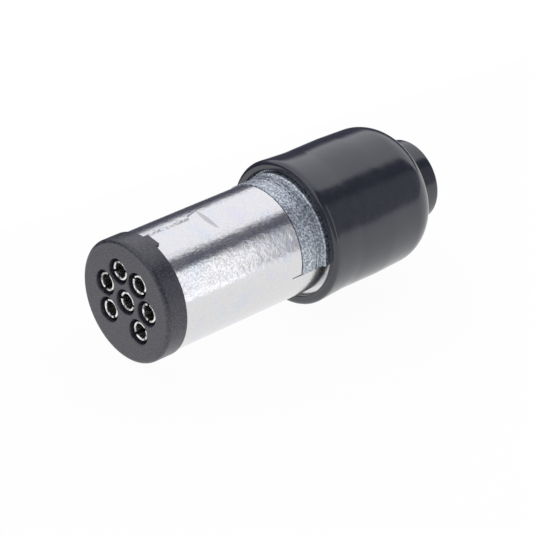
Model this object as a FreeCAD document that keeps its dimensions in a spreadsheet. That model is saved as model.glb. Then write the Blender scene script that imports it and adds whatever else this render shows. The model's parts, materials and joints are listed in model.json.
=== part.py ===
import FreeCAD, Part

import os

import Sketcher

# Small round 7-way trailer plug: a plated shell with a moulded contact carrier in front,
# a wiring space with a cover and a cable clamp behind, and a rubber boot over the back.
# The plug's axis is Y. The contact face is at Y = 0 and looks towards -Y, the cable leaves
# towards +Y, and the keyway is on top, at +Z. All sizes are in millimetres.

os.makedirs("parts", exist_ok=True)
doc = FreeCAD.newDocument("TrailerPlug")
sheet = doc.addObject("Spreadsheet::Sheet", "Size")

SIZES = {
    # Plated shell: the barrel up to the joint with the rear cover, and the trough behind it
    "barrel_diameter": 22.0,
    "barrel_wall": 1.5,
    "barrel_length": 26.9,
    "rear_length": 15.9,
    "end_wall": 1.5,
    "split_drop": 0.35,
    "shell_edge_round": 0.25,
    # Keyway along the top of the barrel
    "groove_width": 4.3,
    "groove_floor": 3.2,
    "groove_depth": 0.5,
    "groove_length": 13.2,
    "flare_length": 2.6,
    "flare_step": 0.35,
    "flare_width": 6.1,
    # Parting groove that runs on from the cover's lower edge
    "parting_length": 2.1,
    "parting_width": 0.3,
    "parting_depth": 0.2,
    # Collar under the boot's lip, its place counted from the joint
    "collar_place": 6.9,
    "collar_length": 2.3,
    "collar_height": 0.8,
    # Contact carrier
    "cap_overhang": 0.3,
    "cap_thickness": 4.2,
    "cap_round": 0.75,
    "carrier_length": 23.4,
    "carrier_fit": 0.05,
    "tab_length": 1.0,
    "tab_width": 3.0,
    "tab_drop": 0.15,
    "tab_fit": 0.06,
    # Contacts
    "contact_pitch": 54.0,
    "contact_diameter": 4.4,
    "contact_fit": 0.1,
    "contact_web": 0.44,
    "contact_recess": 0.5,
    "contact_overhang": 1.0,
    "sleeve_wall": 0.45,
    "sleeve_length": 11.0,
    "socket_bore": 2.8,
    "socket_depth": 12.0,
    "socket_lead": 0.25,
    "slot_width": 0.5,
    "slot_length": 9.0,
    "hole_chamfer": 0.15,
    "wire_bore": 2.4,
    "wire_depth": 9.0,
    # Terminal screws, their place counted from the carrier's back
    "terminal_setback": 4.1,
    "terminal_screw": 2.4,
    "terminal_sink": 0.35,
    "terminal_point": 0.5,
    "terminal_tip": 1.4,
    "screw_fit": 0.05,
    "screw_slot": 0.45,
    "screw_slot_depth": 0.55,
    # Screw that holds the carrier in the barrel, its place counted from the cap's back
    "carrier_screw_place": 6.3,
    "carrier_screw_shank": 2.0,
    "carrier_screw_length": 3.9,
    "carrier_head": 3.9,
    "carrier_head_height": 0.8,
    "carrier_head_fit": 0.1,
    # Rear cover, its ring grooves and shoulder counted from the joint
    "cover_gap": 0.1,
    "cover_proud": 0.15,
    "cover_split_gap": 0.05,
    "ring_place": 3.2,
    "ring_pitch": 0.95,
    "ring_width": 0.4,
    "ring_depth": 0.2,
    "shoulder_place": 5.2,
    "shoulder_height": 0.3,
    # Screws that hold the cover, counted from the joint and in from the bore
    "cover_screw_place": 11.6,
    "cover_screw_inset": 2.2,
    "boss_width": 4.3,
    "boss_bite": 0.3,
    "boss_length": 4.6,
    "boss_height": 4.15,
    "cover_ear_height": 2.7,
    "screw_shank": 2.5,
    "screw_clearance": 0.1,
    "screw_head": 4.0,
    "screw_head_height": 1.4,
    "head_clearance": 0.25,
    "screw_end_gap": 0.9,
    # Cable saddle and clamp, counted from the shell's end
    "cable_diameter": 8.0,
    "passage_fit": 0.2,
    "saddle_length": 12.5,
    "saddle_wall": 2.0,
    "ear_place": 3.5,
    "ear_length": 6.0,
    "ear_width": 3.4,
    "ear_bite": 0.7,
    "ear_height": 3.4,
    "clamp_wall": 1.7,
    "clamp_lift": 0.5,
    "clamp_ear_thickness": 1.6,
    "clamp_screw_inset": 2.0,
    # Boot, its start counted from the joint and its other places from its lip
    "boot_place": 5.8,
    "boot_fit": 0.1,
    "boot_wall": 1.8,
    "boot_taper": 0.35,
    "boot_length": 32.1,
    "boot_shoulder": 23.0,
    "boot_neck": 29.7,
    "inner_shoulder": 21.7,
    "inner_neck": 26.7,
    "boss_wall": 3.75,
    "cable_bore_fit": 0.1,
    "lip_round": 0.8,
    "lip_inner_round": 0.3,
    "boot_shoulder_round": 12.0,
    "boot_inner_round": 9.0,
    "neck_round": 0.9,
    "boss_round": 0.9,
}

for row, (alias, number) in enumerate(SIZES.items(), start=1):
    sheet.set(f"A{row}", alias)
    sheet.set(f"B{row}", str(number))
    sheet.setAlias(f"B{row}", alias)
doc.recompute()

# Radii that several pieces share, as expressions in the sheet's sizes
BARREL_RADIUS = "Size.barrel_diameter / 2"
BORE_RADIUS = "Size.barrel_diameter / 2 - Size.barrel_wall"
CAP_RADIUS = f"{BARREL_RADIUS} + Size.cap_overhang"
COLLAR_RADIUS = f"{BARREL_RADIUS} + Size.collar_height"
COVER_RADIUS = f"{BARREL_RADIUS} + Size.cover_proud"
GROOVE_FLOOR = f"{BARREL_RADIUS} - Size.groove_depth"
CABLE_RADIUS = "Size.cable_diameter / 2 + Size.passage_fit"
EAR_REACH = f"{CABLE_RADIUS} + Size.saddle_wall + Size.ear_width"
CONTACT_HOLE = "Size.contact_diameter / 2 + Size.contact_fit"
CIRCLE_RADIUS = f"(2 * ({CONTACT_HOLE}) + Size.contact_web) / (2 * sin(Size.contact_pitch / 2))"
SCREW_HOLE = "Size.terminal_screw / 2 + Size.screw_fit"
TAPPED_HOLE = "Size.screw_shank / 2 + Size.screw_fit"
PASSING_HOLE = "Size.screw_shank / 2 + Size.screw_clearance"
BEYOND = "2 * Size.barrel_diameter"

# Places along the plug's axis, and angles and heights across it
CAP_BACK = "Size.cap_thickness"
JOINT = "Size.cap_thickness + Size.barrel_length"
COLLAR_START = f"{JOINT} + Size.collar_place"
COLLAR_END = f"{COLLAR_START} + Size.collar_length"
SHELL_END = f"{JOINT} + Size.rear_length"
WALL_START = f"{SHELL_END} - Size.end_wall"
EAR_START = f"{SHELL_END} + Size.ear_place"
BOOT_START = f"{JOINT} + Size.boot_place"
CARRIER_END = "Size.cap_thickness + Size.carrier_length"
CONTACT_END = f"{CARRIER_END} + Size.contact_overhang"
TERMINAL_PLACE = f"{CARRIER_END} - Size.terminal_setback"
FIRST_ANGLE = "-2.5 * Size.contact_pitch"
COVER_BOTTOM = "-Size.split_drop + Size.cover_split_gap"
COVER_SEAT = f"{COVER_BOTTOM} + Size.cover_ear_height"
CLAMP_SEAT = "Size.clamp_lift + Size.clamp_ear_thickness"
COVER_SCREW_X = f"{BORE_RADIUS} - Size.cover_screw_inset"
COVER_SCREW_Y = f"{JOINT} + Size.cover_screw_place"
CLAMP_SCREW_X = f"{EAR_REACH} - Size.clamp_screw_inset"
CLAMP_SCREW_Y = f"{EAR_START} + Size.ear_length / 2"
CARRIER_SCREW_Y = f"{CAP_BACK} + Size.carrier_screw_place"


def value(expression):
    """The number that an expression in the sheet's sizes gives."""
    found = sheet.evalExpression(str(expression))
    return float(getattr(found, "Value", found))


def new_body(label):
    body = doc.addObject("PartDesign::Body", label)
    body.Label = label
    return body


def origin_feature(body, role):
    return next(f for f in body.Origin.OriginFeatures if f.Role == role)


def new_sketch(body, plane, name, away="0"):
    """A sketch on one of the body's own planes, moved along the plane's normal."""
    sketch = body.newObject("Sketcher::SketchObject", f"{body.Name}_{name}")
    sketch.AttachmentSupport = (origin_feature(body, plane), [""])
    sketch.MapMode = "FlatFace"
    sketch.AttachmentOffset = FreeCAD.Placement(FreeCAD.Vector(0, 0, value(away)), FreeCAD.Rotation())
    sketch.setExpression("AttachmentOffset.Base.z", away)
    return sketch


def bind(sketch, constraint, expression):
    index = sketch.addConstraint(constraint)
    sketch.setExpression(f"Constraints[{index}]", expression)


def outline(sketch, corners):
    """A closed outline of straight edges whose corners are tied to the sheet."""
    points = [FreeCAD.Vector(value(x), value(y), 0) for x, y in corners]
    count = len(points)
    first = sketch.GeometryCount
    for i in range(count):
        sketch.addGeometry(Part.LineSegment(points[i], points[(i + 1) % count]), False)
    for i in range(count):
        after = first + (i + 1) % count
        sketch.addConstraint(Sketcher.Constraint("Coincident", first + i, 2, after, 1))
    for i, (x, y) in enumerate(corners):
        bind(sketch, Sketcher.Constraint("DistanceX", -1, 1, first + i, 1, value(x)), x)
        bind(sketch, Sketcher.Constraint("DistanceY", -1, 1, first + i, 1, value(y)), y)


def box_outline(sketch, low_x, low_y, high_x, high_y):
    outline(sketch, [(low_x, low_y), (high_x, low_y), (high_x, high_y), (low_x, high_y)])


def ring(sketch, x, y, radius):
    """A circle tied to the sheet by its centre and radius."""
    centre = FreeCAD.Vector(value(x), value(y), 0)
    index = sketch.addGeometry(Part.Circle(centre, FreeCAD.Vector(0, 0, 1), value(radius)), False)
    bind(sketch, Sketcher.Constraint("DistanceX", -1, 1, index, 3, value(x)), x)
    bind(sketch, Sketcher.Constraint("DistanceY", -1, 1, index, 3, value(y)), y)
    bind(sketch, Sketcher.Constraint("Radius", index, value(radius)), radius)


def feature(body, kind, sketch, reverse=False, **bound):
    """A PartDesign feature made from a sketch, which must change the body's volume."""
    before = body.Shape.Volume if body.Tip and not body.Shape.isNull() else 0.0
    made = body.newObject(f"PartDesign::{kind}", f"{sketch.Name}_{kind}")
    made.Profile = sketch
    made.Reversed = reverse
    for name, expression in bound.items():
        setattr(made, name, value(expression))
        made.setExpression(name, expression)
    sketch.Visibility = False
    doc.recompute()
    change = body.Shape.Volume - before
    if (change < 0) != (kind == "Pocket") or abs(change) < 1e-6:
        raise ValueError(f"{made.Name} does not change the volume the way a {kind} should")
    return made


def turned(body, corners, name="profile", plane="YZ_Plane", axis="H_Axis"):
    """A solid of revolution about the sketch's axis."""
    sketch = new_sketch(body, plane, name)
    outline(sketch, corners)
    made = body.newObject("PartDesign::Revolution", f"{sketch.Name}_turned")
    made.Profile = sketch
    made.ReferenceAxis = (sketch, [axis])
    made.Angle = 360
    doc.recompute()
    return made


def circle_edges(body, place, radius):
    """Names of the body's round edges about its Y axis at a place along it."""
    found = []
    for number, edge in enumerate(body.Shape.Edges, start=1):
        curve = edge.Curve
        if not isinstance(curve, Part.Circle):
            continue
        if abs(curve.Radius - value(radius)) < 1e-3 and abs(curve.Center.y - value(place)) < 1e-3:
            found.append(f"Edge{number}")
    if not found:
        raise ValueError(f"{body.Name} has no round edge at {place}, {radius}")
    return found


def dressed(body, kind, edges, size_name, expression):
    """A fillet or a chamfer on the body's tip."""
    made = body.newObject(f"PartDesign::{kind}", f"{body.Name}_{kind}")
    made.Base = (made.BaseFeature, edges)
    setattr(made, size_name, value(expression))
    made.setExpression(size_name, expression)
    doc.recompute()
    return made


def round_edge(body, place, radius, expression):
    dressed(body, "Fillet", circle_edges(body, place, radius), "Radius", expression)


def put(item, angle="0", x="0", y="0", z="0"):
    """Turn a piece about the plug's axis and set its place."""
    base = FreeCAD.Vector(value(x), value(y), value(z))
    item.Placement = FreeCAD.Placement(base, FreeCAD.Rotation(FreeCAD.Vector(0, 1, 0), value(angle)))
    item.setExpression("Placement.Base.x", x)
    item.setExpression("Placement.Base.y", y)
    item.setExpression("Placement.Base.z", z)
    item.setExpression("Placement.Rotation.Angle", f"({angle}) * 1 deg")


def both_sides(sketch, inner, outer, low, high):
    """The same rectangle on the left and on the right of the plug."""
    box_outline(sketch, inner, low, outer, high)
    box_outline(sketch, f"-({outer})", low, f"-({inner})", high)


def drilled_pair(body, name, across, place, radius, from_height, depth, reverse=False):
    """Two round holes, one each side of the plug, along Z."""
    sketch = new_sketch(body, "XY_Plane", name, from_height)
    for side in ("", "-"):
        ring(sketch, f"{side}({across})", place, radius)
    feature(body, "Pocket", sketch, reverse, Length=depth)


def make_barrel():
    """Plated shell: the plug barrel in front, the lower trough and its collar behind."""
    body = new_body("barrel")
    turned(body, [
        (CAP_BACK, BORE_RADIUS),
        (CAP_BACK, BARREL_RADIUS),
        (COLLAR_START, BARREL_RADIUS),
        (COLLAR_START, COLLAR_RADIUS),
        (COLLAR_END, COLLAR_RADIUS),
        (COLLAR_END, BARREL_RADIUS),
        (WALL_START, BARREL_RADIUS),
        (WALL_START, BORE_RADIUS),
    ])
    upper = new_sketch(body, "XZ_Plane", "upper_half", f"-({JOINT})")
    box_outline(upper, f"-({BEYOND})", "-Size.split_drop", BEYOND, BEYOND)
    feature(body, "Pocket", upper, Length="Size.rear_length")

    bosses = new_sketch(body, "XZ_Plane", "bosses", f"-({COVER_SCREW_Y} - Size.boss_length / 2)")
    both_sides(bosses, f"{BORE_RADIUS} - Size.boss_width", f"{BORE_RADIUS} + Size.boss_bite",
               "-Size.split_drop - Size.boss_height", "-Size.split_drop")
    feature(body, "Pad", bosses, True, Length="Size.boss_length")
    drilled_pair(body, "cover_holes", COVER_SCREW_X, COVER_SCREW_Y, TAPPED_HOLE,
                 "-Size.split_drop", "Size.boss_height")

    groove = new_sketch(body, "XZ_Plane", "keyway", f"-({CAP_BACK})")
    outline(groove, [
        ("-Size.groove_floor / 2", GROOVE_FLOOR),
        ("Size.groove_floor / 2", GROOVE_FLOOR),
        ("Size.groove_width / 2", BARREL_RADIUS),
        ("-Size.groove_width / 2", BARREL_RADIUS),
    ])
    feature(body, "Pocket", groove, Length="Size.groove_length")

    flare_end = f"{CAP_BACK} + Size.groove_length"
    flare_start = f"{flare_end} - Size.flare_length"
    flare = new_sketch(body, "XY_Plane", "keyway_flare", GROOVE_FLOOR)
    outline(flare, [
        ("-Size.groove_width / 2 - Size.flare_step", flare_start),
        ("Size.groove_width / 2 + Size.flare_step", flare_start),
        ("Size.flare_width / 2", flare_end),
        ("-Size.flare_width / 2", flare_end),
    ])
    feature(body, "Pocket", flare, True, Length="Size.barrel_diameter")

    for side in ("", "-"):
        parting = new_sketch(body, "XY_Plane", "parting_left" if side else "parting_right",
                             "-Size.split_drop")
        edge = f"{side}({BARREL_RADIUS} - Size.parting_depth)"
        far = f"{side}({BEYOND})"
        box_outline(parting, edge, f"{JOINT} - Size.parting_length", far, JOINT)
        feature(body, "Pocket", parting, True, Length="Size.parting_width")

    screw_seat = new_sketch(body, "XY_Plane", "screw_seat",
                            f"-({BARREL_RADIUS}) + Size.carrier_head_height + Size.carrier_head_fit")
    ring(screw_seat, "0", CARRIER_SCREW_Y, "Size.carrier_head / 2 + Size.carrier_head_fit")
    feature(body, "Pocket", screw_seat, Length=BEYOND)
    screw_way = new_sketch(body, "XY_Plane", "screw_way", f"-({BORE_RADIUS}) + Size.barrel_wall")
    ring(screw_way, "0", CARRIER_SCREW_Y, "Size.carrier_screw_shank / 2 + Size.screw_fit")
    feature(body, "Pocket", screw_way, Length=BEYOND)

    round_edge(body, CAP_BACK, BARREL_RADIUS, "Size.shell_edge_round")
    return body


def make_cable_saddle():
    """Tail of the plated shell: its end wall and the open sleeve for the cable, an ear each side."""
    body = new_body("cable_saddle")
    sleeve_radius = f"{CABLE_RADIUS} + Size.saddle_wall"
    sleeve_end = f"{SHELL_END} + Size.saddle_length"
    turned(body, [
        (WALL_START, CABLE_RADIUS),
        (WALL_START, BARREL_RADIUS),
        (SHELL_END, BARREL_RADIUS),
        (SHELL_END, sleeve_radius),
        (sleeve_end, sleeve_radius),
        (sleeve_end, CABLE_RADIUS),
    ])
    upper = new_sketch(body, "XZ_Plane", "upper_half", f"-({WALL_START})")
    box_outline(upper, f"-({BEYOND})", "-Size.split_drop", BEYOND, BEYOND)
    feature(body, "Pocket", upper, Length="Size.end_wall + Size.saddle_length")

    ears = new_sketch(body, "XZ_Plane", "ears", f"-({EAR_START})")
    both_sides(ears, f"{CABLE_RADIUS} + Size.ear_bite", EAR_REACH,
               "-Size.split_drop - Size.ear_height", "-Size.split_drop")
    feature(body, "Pad", ears, True, Length="Size.ear_length")
    drilled_pair(body, "clamp_holes", CLAMP_SCREW_X, CLAMP_SCREW_Y, TAPPED_HOLE,
                 "-Size.split_drop", "Size.ear_height")
    return body


def make_carrier():
    """Moulded insulator: cap with the contact face, key tab and the body inside the barrel."""
    body = new_body("contact_carrier")
    outer = f"{BORE_RADIUS} - Size.carrier_fit"
    turned(body, [
        ("0", "0"),
        ("0", CAP_RADIUS),
        (CAP_BACK, CAP_RADIUS),
        (CAP_BACK, outer),
        (CARRIER_END, outer),
        (CARRIER_END, "0"),
    ])
    tab = new_sketch(body, "XZ_Plane", "key_tab", f"-({CAP_BACK})")
    box_outline(tab, "-Size.tab_width / 2", f"{GROOVE_FLOOR} + Size.tab_fit",
                "Size.tab_width / 2", f"{CAP_RADIUS} - Size.tab_drop")
    feature(body, "Pad", tab, True, Length="Size.tab_length")
    round_edge(body, "0", CAP_RADIUS, "Size.cap_round")

    centre = new_sketch(body, "XZ_Plane", "centre_way")
    ring(centre, "0", "0", CONTACT_HOLE)
    feature(body, "Pocket", centre, Length=CARRIER_END)

    way = new_sketch(body, "XZ_Plane", "contact_way")
    ring(way, f"({CIRCLE_RADIUS}) * sin({FIRST_ANGLE})", f"({CIRCLE_RADIUS}) * cos({FIRST_ANGLE})",
         CONTACT_HOLE)
    way_cut = feature(body, "Pocket", way, Length=CARRIER_END)

    access = new_sketch(body, "XY_Plane", "screw_access")
    access.setExpression("AttachmentOffset.Base.z", None)
    access.AttachmentOffset = FreeCAD.Placement(
        FreeCAD.Vector(0, 0, 0), FreeCAD.Rotation(FreeCAD.Vector(0, 1, 0), value(FIRST_ANGLE)))
    access.setExpression("AttachmentOffset.Base.x", f"({CIRCLE_RADIUS}) * sin({FIRST_ANGLE})")
    access.setExpression("AttachmentOffset.Base.z", f"({CIRCLE_RADIUS}) * cos({FIRST_ANGLE})")
    ring(access, "0", TERMINAL_PLACE, SCREW_HOLE)
    access_cut = feature(body, "Pocket", access, True, Length=BARREL_RADIUS)

    around = body.newObject("PartDesign::PolarPattern", "ways_around")
    around.Originals = [way_cut, access_cut]
    around.Axis = (origin_feature(body, "Y_Axis"), [""])
    around.Angle = 5 * value("Size.contact_pitch")
    around.setExpression("Angle", "5 * Size.contact_pitch")
    around.Occurrences = 6
    body.Tip = around
    doc.recompute()

    low_access = new_sketch(body, "XY_Plane", "centre_access")
    ring(low_access, "0", TERMINAL_PLACE, SCREW_HOLE)
    feature(body, "Pocket", low_access, Length=BARREL_RADIUS)

    screw_tip = f"-({BARREL_RADIUS}) + Size.carrier_head_height + Size.carrier_screw_length"
    fixing = new_sketch(body, "XY_Plane", "fixing_hole", f"{screw_tip} + Size.screw_fit")
    ring(fixing, "0", CARRIER_SCREW_Y, "Size.carrier_screw_shank / 2 + Size.screw_fit")
    feature(body, "Pocket", fixing, Length=BARREL_RADIUS)

    dressed(body, "Chamfer", circle_edges(body, "0", CONTACT_HOLE), "Size", "Size.hole_chamfer")
    return body


def make_contact(number, angle, radius):
    """Slim split sleeve in front, thicker terminal with a wire bore and a screw hole behind."""
    body = new_body(f"contact_{number}")
    socket_radius = "Size.socket_bore / 2"
    sleeve_radius = f"{socket_radius} + Size.sleeve_wall"
    wire_radius = "Size.wire_bore / 2"
    socket_end = "Size.contact_recess + Size.socket_depth"
    sleeve_end = "Size.contact_recess + Size.sleeve_length"
    wire_end = f"{CONTACT_END} - Size.wire_depth"
    turned(body, [
        ("Size.contact_recess", f"{socket_radius} + Size.socket_lead"),
        ("Size.contact_recess", sleeve_radius),
        (sleeve_end, sleeve_radius),
        (sleeve_end, "Size.contact_diameter / 2"),
        (CONTACT_END, "Size.contact_diameter / 2"),
        (CONTACT_END, wire_radius),
        (wire_end, wire_radius),
        (wire_end, "0"),
        (socket_end, "0"),
        (socket_end, socket_radius),
        ("Size.contact_recess + Size.socket_lead", socket_radius),
    ])
    slot = new_sketch(body, "XY_Plane", "slot", "Size.contact_diameter")
    box_outline(slot, "-Size.slot_width / 2", "0", "Size.slot_width / 2",
                "Size.contact_recess + Size.slot_length")
    feature(body, "Pocket", slot, Length="2 * Size.contact_diameter")
    screw_way = new_sketch(body, "XY_Plane", "screw_way")
    ring(screw_way, "0", TERMINAL_PLACE, SCREW_HOLE)
    feature(body, "Pocket", screw_way, True, Length="Size.contact_diameter")
    put(body, angle, f"({radius}) * sin({angle})", "0", f"({radius}) * cos({angle})")
    return body


def make_terminal_screw(number, angle, radius):
    """Slotted grub screw with a coned point, backed out so that the wire bore is clear."""
    name = f"terminal_screw_{number}"
    length = f"({BORE_RADIUS} - Size.terminal_sink - {CIRCLE_RADIUS} - Size.wire_bore / 2)"
    shank = doc.addObject("Part::Cylinder", f"{name}_shank")
    shank.setExpression("Radius", "Size.terminal_screw / 2")
    shank.setExpression("Height", f"{length} - Size.terminal_point")
    shank.setExpression("Placement.Base.y", TERMINAL_PLACE)
    shank.setExpression("Placement.Base.z", "Size.wire_bore / 2 + Size.terminal_point")
    point = doc.addObject("Part::Cone", f"{name}_point")
    point.setExpression("Radius1", "Size.terminal_tip / 2")
    point.setExpression("Radius2", "Size.terminal_screw / 2")
    point.setExpression("Height", "Size.terminal_point")
    point.setExpression("Placement.Base.y", TERMINAL_PLACE)
    point.setExpression("Placement.Base.z", "Size.wire_bore / 2")
    pointed = doc.addObject("Part::Fuse", f"{name}_pointed")
    pointed.Base = shank
    pointed.Tool = point
    slot = doc.addObject("Part::Box", f"{name}_slot")
    slot.setExpression("Length", "2 * Size.terminal_screw")
    slot.setExpression("Width", "Size.screw_slot")
    slot.setExpression("Height", "2 * Size.screw_slot_depth")
    slot.setExpression("Placement.Base.x", "-Size.terminal_screw")
    slot.setExpression("Placement.Base.y", f"{TERMINAL_PLACE} - Size.screw_slot / 2")
    slot.setExpression("Placement.Base.z",
                       f"Size.wire_bore / 2 + {length} - Size.screw_slot_depth")
    screw = doc.addObject("Part::Cut", name)
    screw.Base = pointed
    screw.Tool = slot
    screw.Label = name
    doc.recompute()
    put(screw, angle, f"({radius}) * sin({angle})", "0", f"({radius}) * cos({angle})")
    return screw


def make_screw(label, head, head_height, shank, length, x, y, z, angle="0"):
    """Slotted cheese-head screw along Z; the head's underside is at the given place."""
    body = new_body(label)
    turned(body, [
        ("0", f"-({length})"),
        (f"{shank} / 2", f"-({length})"),
        (f"{shank} / 2", "0"),
        (f"{head} / 2", "0"),
        (f"{head} / 2", head_height),
        ("0", head_height),
    ], plane="XZ_Plane", axis="V_Axis")
    slot = new_sketch(body, "XY_Plane", "slot", head_height)
    box_outline(slot, f"-({head})", "-Size.screw_slot / 2", head, "Size.screw_slot / 2")
    feature(body, "Pocket", slot, Length="Size.screw_slot_depth")
    put(body, angle, x, y, z)
    return body


def make_rear_cover():
    """Cast upper half shell over the wiring space, with two fine ring grooves and a shoulder."""
    body = new_body("rear_cover")
    front = f"{JOINT} + Size.cover_gap"
    ring_radius = f"{COVER_RADIUS} - Size.ring_depth"
    shoulder_radius = f"{COVER_RADIUS} + Size.shoulder_height"
    shoulder = f"{JOINT} + Size.shoulder_place"
    corners = [(front, BORE_RADIUS), (front, COVER_RADIUS)]
    for turn in range(2):
        start = f"{JOINT} + Size.ring_place + {turn} * Size.ring_pitch"
        end = f"{start} + Size.ring_width"
        corners += [(start, COVER_RADIUS), (start, ring_radius), (end, ring_radius), (end, COVER_RADIUS)]
    corners += [
        (shoulder, COVER_RADIUS),
        (f"{shoulder} + Size.ring_depth", shoulder_radius),
        (COLLAR_START, shoulder_radius),
        (COLLAR_START, COLLAR_RADIUS),
        (COLLAR_END, COLLAR_RADIUS),
        (COLLAR_END, COVER_RADIUS),
        (SHELL_END, COVER_RADIUS),
        (SHELL_END, CABLE_RADIUS),
        (WALL_START, CABLE_RADIUS),
        (WALL_START, BORE_RADIUS),
    ]
    turned(body, corners)
    lower = new_sketch(body, "XZ_Plane", "lower_half")
    box_outline(lower, f"-({BEYOND})", f"-({BEYOND})", BEYOND, COVER_BOTTOM)
    feature(body, "Pocket", lower, Length=f"2 * ({SHELL_END})")

    ears = new_sketch(body, "XZ_Plane", "ears", f"-({COVER_SCREW_Y} - Size.boss_length / 2)")
    both_sides(ears, f"{BORE_RADIUS} - Size.boss_width", f"{BORE_RADIUS} + Size.boss_bite",
               COVER_BOTTOM, COVER_SEAT)
    feature(body, "Pad", ears, True, Length="Size.boss_length")
    drilled_pair(body, "head_pockets", COVER_SCREW_X, COVER_SCREW_Y,
                 "Size.screw_head / 2 + Size.head_clearance", COVER_SEAT, BEYOND, True)
    drilled_pair(body, "screw_holes", COVER_SCREW_X, COVER_SCREW_Y, PASSING_HOLE,
                 COVER_SEAT, "2 * Size.cover_ear_height")
    return body


def make_cable_clamp():
    """Strap that arches over the cable, with an ear each side for its screw."""
    body = new_body("cable_clamp")
    arch = new_sketch(body, "XZ_Plane", "arch", f"-({EAR_START})")
    ring(arch, "0", "0", f"{CABLE_RADIUS} + Size.clamp_wall")
    ring(arch, "0", "0", CABLE_RADIUS)
    feature(body, "Pad", arch, True, Length="Size.ear_length")
    lower = new_sketch(body, "XZ_Plane", "lower_half")
    box_outline(lower, f"-({BEYOND})", f"-({BEYOND})", BEYOND, "Size.clamp_lift")
    feature(body, "Pocket", lower, Length=f"2 * ({SHELL_END})")
    ears = new_sketch(body, "XZ_Plane", "ears", f"-({EAR_START})")
    both_sides(ears, f"{CABLE_RADIUS} + Size.ear_bite", EAR_REACH,
               "Size.clamp_lift", "Size.clamp_lift + Size.clamp_ear_thickness")
    feature(body, "Pad", ears, True, Length="Size.ear_length")
    drilled_pair(body, "screw_holes", CLAMP_SCREW_X, CLAMP_SCREW_Y, PASSING_HOLE,
                 CLAMP_SEAT, "2 * Size.clamp_ear_thickness")
    return body


def make_boot():
    """Rubber boot: rounded lip, nearly straight body, rounded shoulder and a boss for the cable."""
    body = new_body("boot")
    bore = f"{COLLAR_RADIUS} + Size.boot_fit"
    lip = f"{bore} + Size.boot_wall"
    cable_bore = "Size.cable_diameter / 2 + Size.cable_bore_fit"
    boss = f"{cable_bore} + Size.boss_wall"
    end = f"{BOOT_START} + Size.boot_length"
    shoulder = f"{BOOT_START} + Size.boot_shoulder"
    shoulder_radius = f"{lip} - Size.boot_taper"
    neck = f"{BOOT_START} + Size.boot_neck"
    inner_shoulder = f"{BOOT_START} + Size.inner_shoulder"
    inner_neck = f"{BOOT_START} + Size.inner_neck"
    turned(body, [
        (BOOT_START, bore),
        (BOOT_START, lip),
        (shoulder, shoulder_radius),
        (neck, boss),
        (end, boss),
        (end, cable_bore),
        (inner_neck, cable_bore),
        (inner_neck, boss),
        (inner_shoulder, bore),
    ])
    round_edge(body, shoulder, shoulder_radius, "Size.boot_shoulder_round")
    round_edge(body, inner_shoulder, bore, "Size.boot_inner_round")
    round_edge(body, neck, boss, "Size.neck_round")
    round_edge(body, end, boss, "Size.boss_round")
    round_edge(body, BOOT_START, lip, "Size.lip_round")
    round_edge(body, BOOT_START, bore, "Size.lip_inner_round")
    return body


pieces = [
    make_barrel(), make_cable_saddle(), make_carrier(), make_rear_cover(), make_cable_clamp(), make_boot(),
]

for number in range(1, 7):
    turn = f"({number} - 3.5) * Size.contact_pitch"
    pieces.append(make_contact(number, turn, CIRCLE_RADIUS))
    pieces.append(make_terminal_screw(number, turn, CIRCLE_RADIUS))
pieces.append(make_contact(7, "180", "0"))
pieces.append(make_terminal_screw(7, "180", "0"))

for side, sign in (("right", ""), ("left", "-")):
    pieces.append(make_screw(
        f"cover_screw_{side}", "Size.screw_head", "Size.screw_head_height", "Size.screw_shank",
        "Size.cover_ear_height + Size.boss_height - Size.screw_end_gap",
        f"{sign}({COVER_SCREW_X})", COVER_SCREW_Y, COVER_SEAT))
    pieces.append(make_screw(
        f"clamp_screw_{side}", "Size.screw_head", "Size.screw_head_height", "Size.screw_shank",
        f"{CLAMP_SEAT} + Size.split_drop + Size.ear_height - Size.screw_end_gap",
        f"{sign}({CLAMP_SCREW_X})", CLAMP_SCREW_Y, CLAMP_SEAT))
pieces.append(make_screw(
    "carrier_screw", "Size.carrier_head", "Size.carrier_head_height", "Size.carrier_screw_shank",
    "Size.carrier_screw_length", "0", CARRIER_SCREW_Y,
    f"-({BARREL_RADIUS}) + Size.carrier_head_height", "180"))

doc.recompute()

for item in doc.Objects:
    if "Invalid" in item.State or "Error" in item.State:
        raise ValueError(f"{item.Label} did not recompute")
for piece in pieces:
    shape = piece.Shape
    if shape.isNull() or not shape.isValid() or len(shape.Solids) != 1:
        raise ValueError(f"{piece.Label} is not one sound solid")

for piece in pieces:
    piece.Shape.exportStep(f"parts/{piece.Label}.step")
    box = piece.Shape.BoundBox
    print(f"{piece.Label:20s} {piece.Shape.Volume:9.2f} mm3  Y {box.YMin:6.2f} {box.YMax:6.2f}"
          f"  Z {box.ZMin:6.2f} {box.ZMax:6.2f}")
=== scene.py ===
import json
import math

import bmesh
import bpy
from mathutils import Matrix, Vector


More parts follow.
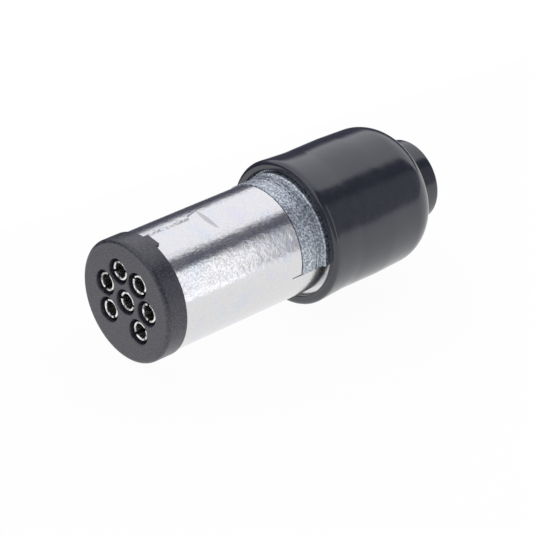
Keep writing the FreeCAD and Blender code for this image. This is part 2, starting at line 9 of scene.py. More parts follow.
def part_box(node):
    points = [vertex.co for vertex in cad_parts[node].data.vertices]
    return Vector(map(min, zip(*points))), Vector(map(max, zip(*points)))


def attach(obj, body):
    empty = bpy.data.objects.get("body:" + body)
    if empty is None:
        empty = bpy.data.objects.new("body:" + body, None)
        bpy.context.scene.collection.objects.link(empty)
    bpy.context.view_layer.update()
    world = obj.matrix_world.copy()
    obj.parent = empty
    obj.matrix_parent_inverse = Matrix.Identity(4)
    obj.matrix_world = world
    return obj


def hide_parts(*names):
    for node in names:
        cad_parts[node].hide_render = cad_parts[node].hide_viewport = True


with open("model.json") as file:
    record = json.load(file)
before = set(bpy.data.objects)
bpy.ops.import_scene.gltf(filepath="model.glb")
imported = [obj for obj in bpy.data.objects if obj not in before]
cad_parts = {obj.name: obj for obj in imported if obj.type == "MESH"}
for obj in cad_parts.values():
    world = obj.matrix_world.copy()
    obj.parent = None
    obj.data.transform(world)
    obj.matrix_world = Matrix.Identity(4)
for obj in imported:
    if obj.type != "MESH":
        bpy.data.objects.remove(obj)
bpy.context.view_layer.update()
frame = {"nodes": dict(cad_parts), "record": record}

# A small round 7-way trailer plug, lying on a white table. Lengths are in metres. The plug's
# axis is Y, its contact face looks towards -Y and its keyway is at +Z.

MM = 0.001
MERGE = 1e-6


# ---------------------------------------------------------------- camera

CAMERA_PLACE = Vector((0.253486, -0.236155, 0.252737))
CAMERA_FORWARD = Vector((-0.56076, 0.59763, -0.57304))
CAMERA_UP = Vector((-0.48352, 0.32546, 0.81259))
SENSOR = 36.0
FOCAL_LENGTH = 169.38


def make_camera():
    data = bpy.data.cameras.new("camera")
    data.sensor_width = SENSOR
    data.lens = FOCAL_LENGTH
    data.clip_start = 0.01
    data.clip_end = 20
    camera = bpy.data.objects.new("camera", data)
    bpy.context.scene.collection.objects.link(camera)
    back = -CAMERA_FORWARD.normalized()
    right = CAMERA_UP.cross(back).normalized()
    turn = Matrix((right, back.cross(right), back)).transposed().to_4x4()
    camera.matrix_world = Matrix.Translation(CAMERA_PLACE) @ turn
    bpy.context.scene.camera = camera


make_camera()


# ---------------------------------------------------------------- node trees in short

class Tree:
    """A short hand for building a shader, world or geometry node tree."""

    def __init__(self, tree):
        self.tree = tree
        self.nodes = tree.nodes
        self.links = tree.links

    def add(self, kind, settings=None, **sockets):
        """A node of that kind. settings are its properties; a socket is given a value or a link,
        by its name, or by its number as i0, i1 and so on."""
        node = self.nodes.new(kind)
        for name, value in (settings or {}).items():
            setattr(node, name, value)
        for name, value in sockets.items():
            self.set(node, name.replace("_", " "), value)
        return node

    def set(self, node, name, value):
        numbered = name[0] == "i" and name[1:].isdigit()
        socket = node.inputs[int(name[1:])] if numbered else self.find(node, name)
        if isinstance(value, bpy.types.NodeSocket):
            self.links.new(value, socket)
        else:
            socket.default_value = value

    def find(self, node, name):
        return next(s for s in node.inputs if s.name.lower() == name.lower() and s.enabled)

    def math(self, operation, *values):
        sockets = {f"i{n}": value for n, value in enumerate(values)}
        return self.add("ShaderNodeMath", {"operation": operation}, **sockets).outputs[0]

    def vector(self, x=0.0, y=0.0, z=0.0):
        return self.add("ShaderNodeCombineXYZ", X=x, Y=y, Z=z).outputs[0]

    def ramp(self, factor, stops):
        made = self.add("ShaderNodeValToRGB", i0=factor)
        elements = made.color_ramp.elements
        while len(elements) < len(stops):
            elements.new(0.5)
        for element, (place, colour) in zip(elements, stops):
            element.position = place
            element.color = (*colour, 1)
        return made.outputs[0]

    def mixed(self, factor, first, second, blend="MIX"):
        made = self.add("ShaderNodeMix", {"data_type": "RGBA", "blend_type": blend})
        for name, value in (("Factor", factor), ("A", first), ("B", second)):
            plain = isinstance(value, (float, bpy.types.NodeSocket))
            self.set(made, name, value if plain else (*value, 1))
        return next(s for s in made.outputs if s.enabled)


class Material(Tree):
    """A surface finish on Object coordinates, built round one Principled shader."""

    def __init__(self, name, **constants):
        self.material = bpy.data.materials.new(name)
        self.material.use_nodes = True
        self.material.node_tree.nodes.clear()
        super().__init__(self.material.node_tree)
        self.shader = self.add("ShaderNodeBsdfPrincipled")
        for key, value in constants.items():
            self.shader.inputs[key.replace("_", " ")].default_value = value
        self.add("ShaderNodeOutputMaterial", Surface=self.shader.outputs[0])
        self.place = self.add("ShaderNodeTexCoord").outputs["Object"]

    def stretched(self, x, y, z):
        """Object coordinates scaled along each axis, for grain that runs one way."""
        return self.add("ShaderNodeMapping", Vector=self.place, Scale=(x, y, z)).outputs[0]

    def noise(self, size, detail=2.0, roughness=0.5, place=None):
        """Noise whose lumps are about that size."""
        made = self.add("ShaderNodeTexNoise", Vector=place or self.place, Scale=1 / size,
                        Detail=detail, Roughness=roughness)
        return made.outputs[0]

    def between(self, factor, low, high, start=0.3, end=0.7):
        """A number that goes from low to high as the noise goes from start to end."""
        made = self.add("ShaderNodeMapRange", Value=factor)
        for name, value in (("From Min", start), ("From Max", end), ("To Min", low), ("To Max", high)):
            made.inputs[name].default_value = value
        return made.outputs[0]

    def colour(self, value):
        self.set(self.shader, "Base Color", value)

    def roughness(self, value):
        self.set(self.shader, "Roughness", value)

    def bump(self, *layers):
        """Bump from (height, depth in metres) layers, each on top of the last."""
        normal = None
        for height, depth in layers:
            made = self.add("ShaderNodeBump", Height=height, Strength=1.0, Distance=depth)
            if normal is not None:
                self.links.new(normal, made.inputs["Normal"])
            normal = made.outputs[0]
        self.links.new(normal, self.shader.inputs["Normal"])


# ---------------------------------------------------------------- finishes

def bright_plating():
    """Bright zinc plating over a die casting: nearly white, rippled and finely speckled."""
    finish = Material("bright_plating", Metallic=1.0)
    blush = finish.noise(5 * MM, 2)
    speckle = finish.noise(0.32 * MM, 3, 0.65)
    ripple = finish.noise(1.1 * MM, 2, 0.5)
    drawn = finish.noise(0.6 * MM, 3, 0.6, finish.stretched(1, 0.15, 1))
    tint = finish.ramp(blush, [(0.32, (0.71, 0.73, 0.76)), (0.46, (0.76, 0.75, 0.74)),
                               (0.58, (0.77, 0.75, 0.72)), (0.70, (0.74, 0.72, 0.76))])
    grains = finish.between(speckle, 0.0, 1.0, 0.52, 0.62)
    finish.colour(finish.mixed(finish.between(speckle, 0.0, 0.45), tint, (0.54, 0.58, 0.68)))
    finish.roughness(finish.between(drawn, 0.13, 0.21))
    finish.bump((ripple, 0.034 * MM), (grains, 0.0042 * MM))
    return finish.material


def cast_skin():
    """Matte cast zinc: blue-grey, speckled light and dark, a little pitted."""
    finish = Material("cast_skin", Metallic=0.9)
    speckle = finish.noise(0.36 * MM, 4, 0.7)
    blotches = finish.noise(2.2 * MM, 3)
    grains = finish.between(speckle, 0.0, 1.0, 0.44, 0.58)
    tint = finish.ramp(blotches, [(0.3, (0.17, 0.21, 0.27)), (0.7, (0.28, 0.33, 0.39))])
    finish.colour(finish.mixed(grains, tint, (0.80, 0.84, 0.88)))
    finish.roughness(finish.between(speckle, 0.32, 0.52))
    finish.bump((blotches, 0.05 * MM), (grains, 0.014 * MM))
    return finish.material


def moulded_plastic():
    """Charcoal moulded plastic, half matte, with a fine eroded texture and pale dust marks."""
    finish = Material("moulded_plastic", Specular_IOR_Level=0.72)
    grain = finish.noise(0.30 * MM, 3, 0.6)
    clouds = finish.noise(3.5 * MM, 2)
    scuffs = finish.noise(0.9 * MM, 4, 0.7)
    tint = finish.ramp(clouds, [(0.3, (0.010, 0.011, 0.019)), (0.7, (0.018, 0.018, 0.028))])
    worn = finish.mixed(finish.between(scuffs, 0.0, 0.4), tint, (0.050, 0.051, 0.068))
    flecks = finish.between(grain, 0.0, 0.8, 0.48, 0.62)
    finish.colour(finish.mixed(flecks, worn, (0.090, 0.091, 0.115)))
    finish.roughness(finish.between(grain, 0.27, 0.42))
    finish.bump((clouds, 0.03 * MM), (flecks, 0.008 * MM))
    return finish.material


def boot_rubber():
    """Glossy bluish-black rubber with soft swells, a fine skin and dusty patches."""
    finish = Material("boot_rubber", Specular_IOR_Level=0.85)
    skin = finish.noise(0.45 * MM, 3, 0.6)
    swell = finish.noise(7 * MM, 2)
    dust = finish.noise(1.6 * MM, 4, 0.7)
    tint = finish.ramp(swell, [(0.3, (0.014, 0.017, 0.028)), (0.7, (0.021, 0.024, 0.036))])
    finish.colour(finish.mixed(finish.between(dust, 0.0, 0.35), tint, (0.038, 0.042, 0.056)))
    finish.roughness(finish.between(dust, 0.13, 0.20))
    finish.bump((swell, 0.08 * MM), (skin, 0.004 * MM))
    return finish.material


def tinned_contact():
    """Tin-plated sleeve: neutral metal with painted glints and painted dark reflections, as near-white,
    grey and near-black patches from noise.
    """
    finish = Material("tinned_contact", Metallic=1.0)
    glint_and_shade_patches = finish.noise(0.9 * MM, 3, 0.6)
    # Painted glints and painted dark reflections: the ramp on this noise turns the sleeve's colour
    # near-white, grey or near-black in patches.
    finish.colour(finish.ramp(glint_and_shade_patches, [(0.44, (0.95, 0.95, 0.94)), (0.54, (0.60, 0.59, 0.57)),
                                     (0.62, (0.20, 0.20, 0.20))]))
    finish.roughness(finish.between(glint_and_shade_patches, 0.14, 0.30))
    finish.bump((glint_and_shade_patches, 0.010 * MM))
    return finish.material


def screw_plating():
    """Zinc-plated steel with a faint yellow passivated bloom."""
    finish = Material("screw_plating", Metallic=1.0)
    bloom = finish.noise(1.4 * MM, 3, 0.6)
    grain = finish.noise(0.24 * MM, 3, 0.7)
    finish.colour(finish.ramp(bloom, [(0.35, (0.62, 0.63, 0.66)), (0.65, (0.72, 0.68, 0.56))]))
    finish.roughness(finish.between(grain, 0.22, 0.40))
    finish.bump((grain, 0.006 * MM))
    return finish.material


def strap_steel():
    """Pressed zinc-plated strap, brushed along the plug."""
    finish = Material("strap_steel", Metallic=1.0)
    brushed = finish.noise(0.5 * MM, 3, 0.6, finish.stretched(1, 0.08, 1))
    grain = finish.noise(0.28 * MM, 3, 0.7)
    finish.colour(finish.ramp(brushed, [(0.3, (0.56, 0.57, 0.60)), (0.7, (0.72, 0.72, 0.71))]))
    finish.roughness(finish.between(grain, 0.26, 0.44))
    finish.bump((brushed, 0.012 * MM), (grain, 0.006 * MM))
    return finish.material


FINISHES = {
    "plated_zinc": bright_plating(),
    "cast_zinc": cast_skin(),
    "carrier_plastic": moulded_plastic(),
    "boot_rubber": boot_rubber(),
    "contact_brass": tinned_contact(),
    "screw_steel": screw_plating(),
    "clamp_steel": strap_steel(),
}


# ---------------------------------------------------------------- helpers for pieces

RECORD = frame["record"]
SLOT_OF = {part["node"]: part["material_slot"] for part in RECORD["subparts"]}
BODY_OF = {node: body for body, nodes in RECORD["behaviour"]["bodies"].items() for node in nodes}


def loose_piece(name, mesh):
    piece = bpy.data.objects.new(name, mesh)
    bpy.context.scene.collection.objects.link(piece)
    return piece


def new_piece(name, mesh, *nodes):
    """A finished piece that stands for CAD nodes and rides on their body."""
    piece = loose_piece(name, mesh)
    mesh.materials.clear()
    mesh.materials.append(FINISHES[SLOT_OF[nodes[0]]])
    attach(piece, BODY_OF[nodes[0]])
    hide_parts(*nodes)
    return piece


def plain_mesh(piece):
    """Turns a piece with modifiers into a plain mesh."""
    graph = bpy.context.evaluated_depsgraph_get()
    mesh = bpy.data.meshes.new_from_object(piece.evaluated_get(graph))
    bpy.data.objects.remove(piece)
    return mesh


def merged_copy(node):
    """A copy of a CAD node's mesh with its triangles joined up."""
    mesh = frame["nodes"][node].data.copy()
    shape = bmesh.new()
    shape.from_mesh(mesh)
    bmesh.ops.remove_doubles(shape, verts=shape.verts, dist=MERGE)
    shape.to_mesh(mesh)
    shape.free()
    if "custom_normal" in mesh.attributes:
        mesh.attributes.remove(mesh.attributes["custom_normal"])
    return mesh


def welded(first, second):
    """One mesh of two that touch."""
    piece = loose_piece("first", first)
    other = loose_piece("second", second)
    union = piece.modifiers.new("weld", "BOOLEAN")
    union.operation = "UNION"
    union.solver = "EXACT"
    union.object = other
    mesh = plain_mesh(piece)
    bpy.data.objects.remove(other)
    return mesh


def softened(mesh, width, segments=2, angle=28):
    """The mesh with its flat faces made whole and every sharp edge rounded over."""
    shape = bmesh.new()
    shape.from_mesh(mesh)
    bmesh.ops.remove_doubles(shape, verts=shape.verts, dist=MERGE)
    bmesh.ops.dissolve_limit(shape, angle_limit=math.radians(0.6), verts=shape.verts, edges=shape.edges)
    for face in shape.faces:
        face.smooth = True
    shape.to_mesh(mesh)
    shape.free()
    piece = loose_piece("soft", mesh)
    bevel = piece.modifiers.new("rounded", "BEVEL")
    bevel.width = width
    bevel.segments = segments
    bevel.limit_method = "ANGLE"
    bevel.angle_limit = math.radians(angle)
    bevel.use_clamp_overlap = True
    weighted = piece.modifiers.new("even", "WEIGHTED_NORMAL")
    weighted.keep_sharp = True
    return plain_mesh(piece)


# ---------------------------------------------------------------- shell, cover, carrier, clamp

new_piece("shell_casting", softened(welded(merged_copy("barrel"), merged_copy("cable_saddle")), 0.12 * MM),
          "barrel", "cable_saddle")
new_piece("carrier_body", softened(merged_copy("contact_carrier"), 0.10 * MM), "contact_carrier")
new_piece("cover_casting", softened(merged_copy("rear_cover"), 0.10 * MM), "rear_cover")
new_piece("clamp_strap", softened(merged_copy("cable_clamp"), 0.15 * MM), "cable_clamp")


# ---------------------------------------------------------------- boot

BOOT_LOW, BOOT_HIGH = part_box("boot")
BOOT_START = BOOT_LOW.y
BOOT_END = BOOT_HIGH.y
LIP_RADIUS = BOOT_HIGH.z
LIP_ROUND = 0.8 * MM
BOOT_BORE = LIP_RADIUS - 1.8 * MM
WAIST = 7.0 * MM
WAIST_RADIUS = LIP_RADIUS - 0.40 * MM
WAIST_ROUND = 12.0 * MM
BELLY = 15.0 * MM
BELLY_RADIUS = LIP_RADIUS - 0.30 * MM
BELLY_ROUND = 14.0 * MM
SHOULDER = 24.3 * MM
SHOULDER_RADIUS = LIP_RADIUS - 0.60 * MM
SHOULDER_ROUND = 6.5 * MM
NECK = 28.7 * MM
NECK_ROUND = 0.25 * MM
BOSS_RADIUS = 7.8 * MM
BOSS_ROUND = 0.6 * MM
CABLE_BORE = 4.1 * MM
INNER_SHOULDER = 21.7 * MM
INNER_NECK = 26.7 * MM
BOOT_TURNS = 160


def rounded_outline(corners, step=0.35 * MM):
    """Points of a closed outline whose corners, each (along, radius, round), are arcs."""
    points = []
    count = len(corners)
    for index, (along, radius, bend) in enumerate(corners):
        here = Vector((along, radius))
        before = (Vector(corners[index - 1][:2]) - here)
        after = (Vector(corners[(index + 1) % count][:2]) - here)
        if not bend:
            points.append(here)
            continue
        half = before.angle(after) / 2
        reach = bend / math.tan(half)
        bisector = (before.normalized() + after.normalized()).normalized()
        centre = here + bisector * bend / math.sin(half)
        first = here + before.normalized() * reach - centre
        sweep = first.angle_signed(here + after.normalized() * reach - centre)
        pieces = max(5, int(abs(sweep) * bend / step))
        for piece in range(pieces + 1):
            turn = -sweep * piece / pieces
            points.append(centre + Matrix.Rotation(turn, 2) @ first)
    return points


def with_stations(points, step):
    """The outline with points added so that no span is longer than the step."""
    full = []
    for here, after in zip(points, points[1:] + points[:1]):
        spans = max(1, math.ceil((after - here).length / step))
        full += [here.lerp(after, span / spans) for span in range(spans)]
    return full


def lathe(points, turns):
    """A closed mesh from turning an outline of (along, radius) points about the plug's axis."""
    shape = bmesh.new()
    rings = []
    for turn in range(turns):
        angle = 2 * math.pi * turn / turns
        rows = []
        for along, radius in points:
            rows.append(shape.verts.new((radius * math.sin(angle), along, radius * math.cos(angle))))
        rings.append(rows)
    for turn in range(turns):
        near, far = rings[turn], rings[(turn + 1) % turns]
        for row in range(len(points)):
            after = (row + 1) % len(points)
            shape.faces.new((near[row], near[after], far[after], far[row])).smooth = True
    bmesh.ops.recalc_face_normals(shape, faces=shape.faces)
    mesh = bpy.data.meshes.new("turned")
    shape.to_mesh(mesh)
    shape.free()
    return mesh


def make_boot():
    """Rubber boot, turned from its wall's outline: lip, slight waist, belly, dome and boss."""
    start = BOOT_START
    wall = rounded_outline([
        (start, BOOT_BORE, 0.3 * MM),
        (start, LIP_RADIUS, LIP_ROUND),
        (start + WAIST, WAIST_RADIUS, WAIST_ROUND),
        (start + BELLY, BELLY_RADIUS, BELLY_ROUND),
        (start + SHOULDER, SHOULDER_RADIUS, SHOULDER_ROUND),
        (start + NECK, BOSS_RADIUS, NECK_ROUND),
        (BOOT_END, BOSS_RADIUS, BOSS_ROUND),
        (BOOT_END, CABLE_BORE, 0.4 * MM),
        (start + INNER_NECK, CABLE_BORE, 0.3 * MM),
        (start + INNER_NECK, BOSS_RADIUS, 0.3 * MM),
        (start + INNER_SHOULDER, BOOT_BORE, 8.0 * MM),
    ])
    new_piece("boot_rubber_sleeve", lathe(with_stations(wall, 0.9 * MM), BOOT_TURNS), "boot")


make_boot()


# ---------------------------------------------------------------- geometry node trees

class GeometryTree(Tree):
    """A Geometry Nodes tree with named inputs that ends in Realize Instances and Set Material."""

    def __init__(self, name, inputs):
        group = bpy.data.node_groups.new(name, "GeometryNodeTree")
        group.interface.new_socket("Geometry", in_out="INPUT", socket_type="NodeSocketGeometry")
        for label, value in inputs.items():
            kind = "NodeSocketInt" if isinstance(value, int) else "NodeSocketFloat"
            made = group.interface.new_socket(label, in_out="INPUT", socket_type=kind)
            made.default_value = value
        group.interface.new_socket("Finish", in_out="INPUT", socket_type="NodeSocketMaterial")
        group.interface.new_socket("Geometry", in_out="OUTPUT", socket_type="NodeSocketGeometry")
        super().__init__(group)
        self.given = self.add("NodeGroupInput").outputs

    def end(self, *parts):
        """Joins the parts, makes them real, gives them their finish and sends them out."""
        joined = self.add("GeometryNodeJoinGeometry")
        for part in parts:
            self.links.new(part, joined.inputs[0])
        real = self.add("GeometryNodeRealizeInstances", Geometry=joined.outputs[0])
        painted = self.add("GeometryNodeSetMaterial", Geometry=real.outputs[0],
                           Material=self.given["Finish"])
        self.add("NodeGroupOutput", Geometry=painted.outputs[0])
        return self.tree

    def half(self, value):
        return self.math("MULTIPLY", value, 0.5)

    def rod(self, radius, start, length, sides=48):
        """A round rod along Y."""
        made = self.add("GeometryNodeMeshCylinder", Vertices=sides, Radius=radius, Depth=length)
        middle = self.vector(y=self.math("ADD", start, self.half(length)))
        moved = self.add("GeometryNodeTransform", Geometry=made.outputs["Mesh"],
                         Translation=middle, Rotation=(math.pi / 2, 0.0, 0.0))
        return moved.outputs[0]

    def cut(self, solid, *tools):
        made = self.add("GeometryNodeMeshBoolean", {"operation": "DIFFERENCE", "solver": "EXACT"},
                        i0=solid)
        for tool in tools:
            self.links.new(tool, made.inputs[1])
        return made.outputs[0]


def grown(tree, name, node, place, sizes):
    """Runs a tree with the given sizes, and leaves a plain piece for the node at that place."""
    piece = loose_piece(name, bpy.data.meshes.new(name))
    grower = piece.modifiers.new("grower", "NODES")
    grower.node_group = tree
    sockets = {item.name: item.identifier for item in tree.interface.items_tree
               if item.in_out == "INPUT"}
    for label, value in sizes.items():
        grower[sockets[label]] = value
    grower[sockets["Finish"]] = FINISHES[SLOT_OF[node]]
    mesh = plain_mesh(piece)
    shape = bmesh.new()
    shape.from_mesh(mesh)
    bmesh.ops.remove_doubles(shape, verts=shape.verts, dist=2 * MERGE)
    bmesh.ops.transform(shape, matrix=place, verts=shape.verts)
    bmesh.ops.recalc_face_normals(shape, faces=shape.faces)
    shape.to_mesh(mesh)
    shape.free()
    new_piece(name, mesh, node)


# ---------------------------------------------------------------- contacts

def contact_tree():
    """A socket contact along Y: two sprung leaves with a rounded mouth, and behind them the
    terminal, drilled for the wire and across for its screw."""
    tree = GeometryTree("split_socket_contact", {
        "Mouth": 0.0005, "Leaf Length": 0.011, "Bore Radius": 0.0013, "Leaf Wall": 0.00055,
        "Slot": 0.0005, "Leaves": 2, "Terminal Radius": 0.0022, "End": 0.0286,
        "Wire Radius": 0.0012, "Wire Depth": 0.009, "Screw Place": 0.0235, "Screw Radius": 0.00125,
    })
    size = tree.given
    wall = size["Leaf Wall"]
    middle_radius = tree.math("ADD", size["Bore Radius"], tree.half(wall))
    slot_turn = tree.math("DIVIDE", size["Slot"], middle_radius)
    turn = tree.math("DIVIDE", 2 * math.pi, size["Leaves"])
    path = tree.add("GeometryNodeCurveArc", {"mode": "RADIUS"}, Resolution=40, Radius=middle_radius,
                    Start_Angle=tree.half(slot_turn), Sweep_Angle=tree.math("SUBTRACT", turn, slot_turn))
    section = tree.add("GeometryNodeCurvePrimitiveQuadrilateral", {"mode": "RECTANGLE"},
                       Width=wall, Height=size["Leaf Length"])
    eased = tree.add("GeometryNodeFilletCurve", {"mode": "POLY"}, Curve=section.outputs[0], Count=4,
                     Radius=tree.math("MULTIPLY", wall, 0.42))
    leaf = tree.add("GeometryNodeCurveToMesh", Curve=path.outputs[0],
                    Profile_Curve=eased.outputs[0], Fill_Caps=True)
    seat = tree.add("GeometryNodePoints", Count=size["Leaves"])
    index = tree.add("GeometryNodeInputIndex").outputs[0]
    around = tree.add("GeometryNodeInstanceOnPoints", Points=seat.outputs[0], Instance=leaf.outputs[0],
                      Rotation=tree.vector(z=tree.math("MULTIPLY", index, turn)))
    sleeve_middle = tree.math("ADD", size["Mouth"], tree.half(size["Leaf Length"]))
    sleeve = tree.add("GeometryNodeTransform", Geometry=around.outputs[0],
                      Translation=tree.vector(y=sleeve_middle), Rotation=(math.pi / 2, 0.0, 0.0))

    leaf_end = tree.math("ADD", size["Mouth"], size["Leaf Length"])
    block_start = tree.math("SUBTRACT", leaf_end, 0.0002)
    block = tree.rod(size["Terminal Radius"], block_start, tree.math("SUBTRACT", size["End"], block_start))
    socket = tree.rod(size["Bore Radius"], size["Mouth"], tree.math("ADD", size["Leaf Length"], 0.001))
    wire = tree.rod(size["Wire Radius"], tree.math("SUBTRACT", size["End"], size["Wire Depth"]),
                    tree.math("MULTIPLY", size["Wire Depth"], 1.5))
    drill = tree.add("GeometryNodeMeshCylinder", Vertices=32, Radius=size["Screw Radius"],
                     Depth=tree.math("MULTIPLY", size["Terminal Radius"], 2.0))
    across = tree.add("GeometryNodeTransform", Geometry=drill.outputs["Mesh"],
                      Translation=tree.vector(y=size["Screw Place"], z=size["Terminal Radius"]))
    terminal = tree.cut(block, socket, wire, across.outputs[0])
    soft = tree.add("GeometryNodeSetShadeSmooth", Geometry=sleeve.outputs[0])
    return tree.end(soft.outputs[0], terminal)


def contact_places():
    """Name, place and turn about the axis of each contact, from the CAD nodes themselves."""
    for node in sorted(n for n in frame["nodes"] if n.startswith("contact_") and n[8:].isdigit()):
        low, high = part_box(node)
        middle = (low + high) / 2
        radius = math.hypot(middle.x, middle.z)
        turn = math.atan2(middle.x, middle.z) if radius > 1 * MM else math.pi
        yield node, Vector((middle.x, 0, middle.z)), turn


CONTACT = contact_tree()
for node, seat, turn in contact_places():
    low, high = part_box(node)
    grown(CONTACT, node + "_socket", node, Matrix.Translation(seat) @ Matrix.Rotation(turn, 4, "Y"),
          {"Mouth": low.y, "End": high.y})


# ---------------------------------------------------------------- screws

def screw_tree():
    """A slotted screw along Z with its head's underside at 0: eased head, threaded shank, cone."""
    tree = GeometryTree("slotted_screw", {
        "Head Radius": 0.002, "Head Height": 0.0014, "Slot Width": 0.00045, "Slot Depth": 0.00055,
        "Shank Radius": 0.00125, "Shank Length": 0.006, "Tip Length": 0.0005, "Tip Radius": 0.0008,
        "Pitch": 0.00045, "Thread Depth": 0.00016,
    })
    size = tree.given
    easing = tree.math("MULTIPLY", size["Head Height"], 0.15)
    straight = tree.math("SUBTRACT", size["Head Height"], easing)
    side = tree.add("GeometryNodeMeshCylinder", Vertices=64, Radius=size["Head Radius"], Depth=straight)
    side_up = tree.add("GeometryNodeTransform", Geometry=side.outputs["Mesh"],
                       Translation=tree.vector(z=tree.half(straight)))
    crown = tree.add("GeometryNodeMeshCone", Vertices=64, Radius_Bottom=size["Head Radius"],
                     Radius_Top=tree.math("SUBTRACT", size["Head Radius"], easing), Depth=easing)
    crown_up = tree.add("GeometryNodeTransform", Geometry=crown.outputs["Mesh"],
                        Translation=tree.vector(z=straight))
    core_radius = tree.math("SUBTRACT", size["Shank Radius"], size["Thread Depth"])
    shank_length = tree.math("SUBTRACT", size["Shank Length"], size["Tip Length"])
    core = tree.add("GeometryNodeMeshCylinder", Vertices=32, Radius=core_radius, Depth=shank_length)
    core_down = tree.add("GeometryNodeTransform", Geometry=core.outputs["Mesh"],
                         Translation=tree.vector(z=tree.math("MULTIPLY", shank_length, -0.5)))
    tip = tree.add("GeometryNodeMeshCone", Vertices=32, Radius_Bottom=size["Tip Radius"],
                   Radius_Top=core_radius, Depth=size["Tip Length"])
    tip_down = tree.add("GeometryNodeTransform", Geometry=tip.outputs["Mesh"],
                        Translation=tree.vector(z=tree.math("MULTIPLY", size["Shank Length"], -1.0)))
    body = tree.add("GeometryNodeMeshBoolean", {"operation": "UNION", "solver": "EXACT"})
    for part in (side_up, crown_up, core_down, tip_down):
        tree.links.new(part.outputs[0], body.inputs[1])
    bar = tree.add("GeometryNodeMeshCube", Size=tree.add(
        "ShaderNodeCombineXYZ", X=tree.math("MULTIPLY", size["Head Radius"], 3.0), Y=size["Slot Width"],
        Z=tree.math("MULTIPLY", size["Slot Depth"], 2.0)).outputs[0])
    bar_up = tree.add("GeometryNodeTransform", Geometry=bar.outputs["Mesh"],
                      Translation=tree.vector(z=size["Head Height"]))
    slotted = tree.cut(body.outputs[0], bar_up.outputs[0])

    turns = tree.math("DIVIDE", tree.math("SUBTRACT", shank_length, size["Pitch"]), size["Pitch"])
    helix = tree.add("GeometryNodeCurveSpiral", Resolution=24, Rotations=turns, Start_Radius=core_radius,
                     End_Radius=core_radius, Height=tree.math("MULTIPLY", turns, size["Pitch"]))
    helix_down = tree.add("GeometryNodeTransform", Geometry=helix.outputs[0], Translation=tree.vector(
        z=tree.math("SUBTRACT", tree.half(size["Pitch"]), shank_length)))
    ridge = tree.add("GeometryNodeCurvePrimitiveCircle", Resolution=4, Radius=size["Thread Depth"])
    thread = tree.add("GeometryNodeCurveToMesh", Curve=helix_down.outputs[0],
                      Profile_Curve=ridge.outputs[0], Fill_Caps=True)
    return tree.end(slotted, thread.outputs[0])


SCREW = screw_tree()
TERMINAL_SCREW_RADIUS = 1.2 * MM
TERMINAL_SCREW_LENGTH = 2.4 * MM
TERMINAL_SCREW_HEAD = 0.7 * MM
CARRIER_SCREW_HEAD = 0.8 * MM
SHELL_SCREW_HEAD = 1.4 * MM
DRIVEN_FROM = {joint["child"]: -Vector(joint["axis"]).normalized()
               for joint in RECORD["behaviour"]["joints"]}


def make_screws():
    """Every screw of the plug, sized from its node's box."""
    for node in sorted(n for n in frame["nodes"] if "screw" in n):
        low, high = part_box(node)
        middle = (low + high) / 2
        if node.startswith("terminal"):
            low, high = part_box("contact_" + node[-1])
            axis = (low + high) / 2
            axis.y = middle.y
            outward = DRIVEN_FROM[node]
            top = max((vertex.co - axis).dot(outward) for vertex in frame["nodes"][node].data.vertices)
            head = TERMINAL_SCREW_HEAD
            place = axis + outward * (top - head)
            sizes = {"Head Radius": TERMINAL_SCREW_RADIUS, "Head Height": head,
                     "Shank Radius": TERMINAL_SCREW_RADIUS, "Shank Length": TERMINAL_SCREW_LENGTH - head,
                     "Tip Length": 0.5 * MM, "Tip Radius": 0.7 * MM}
        elif node == "carrier_screw":
            outward = Vector((0, 0, -1))
            head = CARRIER_SCREW_HEAD
            place = Vector((middle.x, middle.y, low.z + head))
            sizes = {"Head Radius": 1.95 * MM, "Head Height": head, "Shank Radius": 1.0 * MM,
                     "Shank Length": high.z - low.z - head}
        else:
            outward = Vector((0, 0, 1))
            head = SHELL_SCREW_HEAD
            place = Vector((middle.x, middle.y, high.z - head))
            sizes = {"Head Radius": 2.0 * MM, "Head Height": head, "Shank Radius": 1.25 * MM,
                     "Shank Length": high.z - low.z - head}
        turn = Vector((0, 0, 1)).rotation_difference(outward).to_matrix().to_4x4()
        grown(SCREW, node + "_threaded", node, Matrix.Translation(place) @ turn, sizes)


make_screws()


# ---------------------------------------------------------------- table and light

TABLE_LEFT = 42 * MM
TABLE_HALF = 3.0
TABLE_GAP = 0.05 * MM


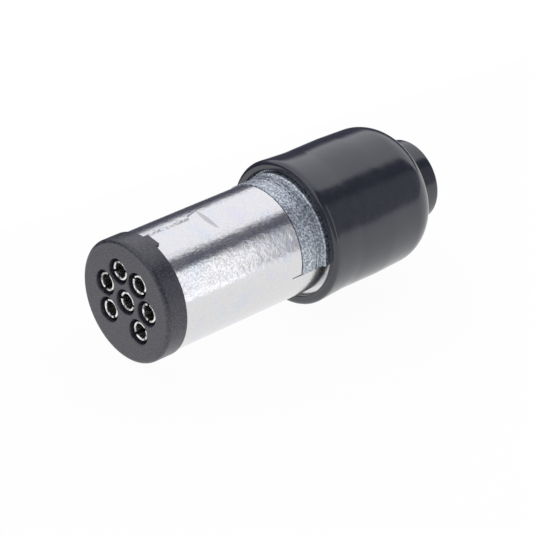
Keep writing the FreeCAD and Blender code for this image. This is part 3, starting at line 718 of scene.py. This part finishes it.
def make_table():
    """White table that the plug's cap and the boot's lip rest on, near the table's left edge."""
    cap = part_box("contact_carrier")
    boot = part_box("boot")
    slope = math.atan2(boot[0].z - cap[0].z, boot[0].y - cap[0].y)
    mesh = bpy.data.meshes.new("table")
    corners = [(-TABLE_LEFT, -TABLE_HALF, 0), (TABLE_HALF, -TABLE_HALF, 0),
               (TABLE_HALF, TABLE_HALF, 0), (-TABLE_LEFT, TABLE_HALF, 0)]
    mesh.from_pydata(corners, [], [(0, 1, 2, 3)])
    table = loose_piece("table", mesh)
    table.matrix_world = (Matrix.Translation((0, boot[0].y, boot[0].z - TABLE_GAP))
                          @ Matrix.Rotation(slope, 4, "X"))
    paper = Material("white_paper", Base_Color=(0.05, 0.05, 0.05, 1), Roughness=1.0,
                     Emission_Color=(1, 1, 1, 1), Emission_Strength=0.955, Specular_IOR_Level=0.0)
    mesh.materials.append(paper.material)


# Brightness of the studio round the plug's axis, by the angle from straight up towards +X
STRIPS = [
    (-180, 0.84), (-126, 0.84), (-118, 0.08), (-86, 0.08), (-80, 0.40), (-75, 1.12), (3, 1.12),
    (10, 0.15), (28, 0.10), (38, 0.33), (80, 0.33), (88, 0.95), (180, 0.95),
]


def make_world():
    """Long softboxes and dark gaps along the plug, and a white backdrop."""
    world = bpy.data.worlds.new("studio")
    world.use_nodes = True
    world.node_tree.nodes.clear()
    tree = Tree(world.node_tree)
    direction = tree.add("ShaderNodeTexCoord").outputs["Generated"]
    sides = tree.add("ShaderNodeSeparateXYZ", Vector=direction)
    angle = tree.math("ARCTAN2", sides.outputs["X"], sides.outputs["Z"])
    share = tree.math("MULTIPLY_ADD", angle, 1 / (2 * math.pi), 0.5)
    stops = [((degrees + 180) / 360, (grey, grey, grey * 1.02 + 0.03)) for degrees, grey in STRIPS]
    strips = tree.ramp(share, stops)
    seen = tree.add("ShaderNodeLightPath").outputs["Is Camera Ray"]
    backdrop = tree.mixed(seen, strips, (1, 1, 1))
    light = tree.add("ShaderNodeBackground", Color=backdrop, Strength=1.0)
    tree.add("ShaderNodeOutputWorld", Surface=light.outputs[0])
    bpy.context.scene.world = world


def reflector(name, angle, radius, along, width, length, brightness):
    """A bright card beside the plug, square on to its axis, at an angle from straight up."""
    data = bpy.data.lights.new(name, "AREA")
    data.shape = "RECTANGLE"
    data.size = width
    data.size_y = length
    data.energy = brightness * math.pi * width * length
    light = loose_piece(name, data)
    turn = math.radians(angle)
    out = Vector((math.sin(turn), 0, math.cos(turn)))
    side = Vector((0, 1, 0)).cross(out)
    frame_of_card = Matrix((side, Vector((0, 1, 0)), out)).transposed().to_4x4()
    light.matrix_world = Matrix.Translation(out * radius + Vector((0, along, 0))) @ frame_of_card


make_table()
make_world()
reflector("card_light", 60, 0.120, 0.088, 0.120, 0.036, 1.10)
bpy.context.scene.view_settings.view_transform = "Standard"
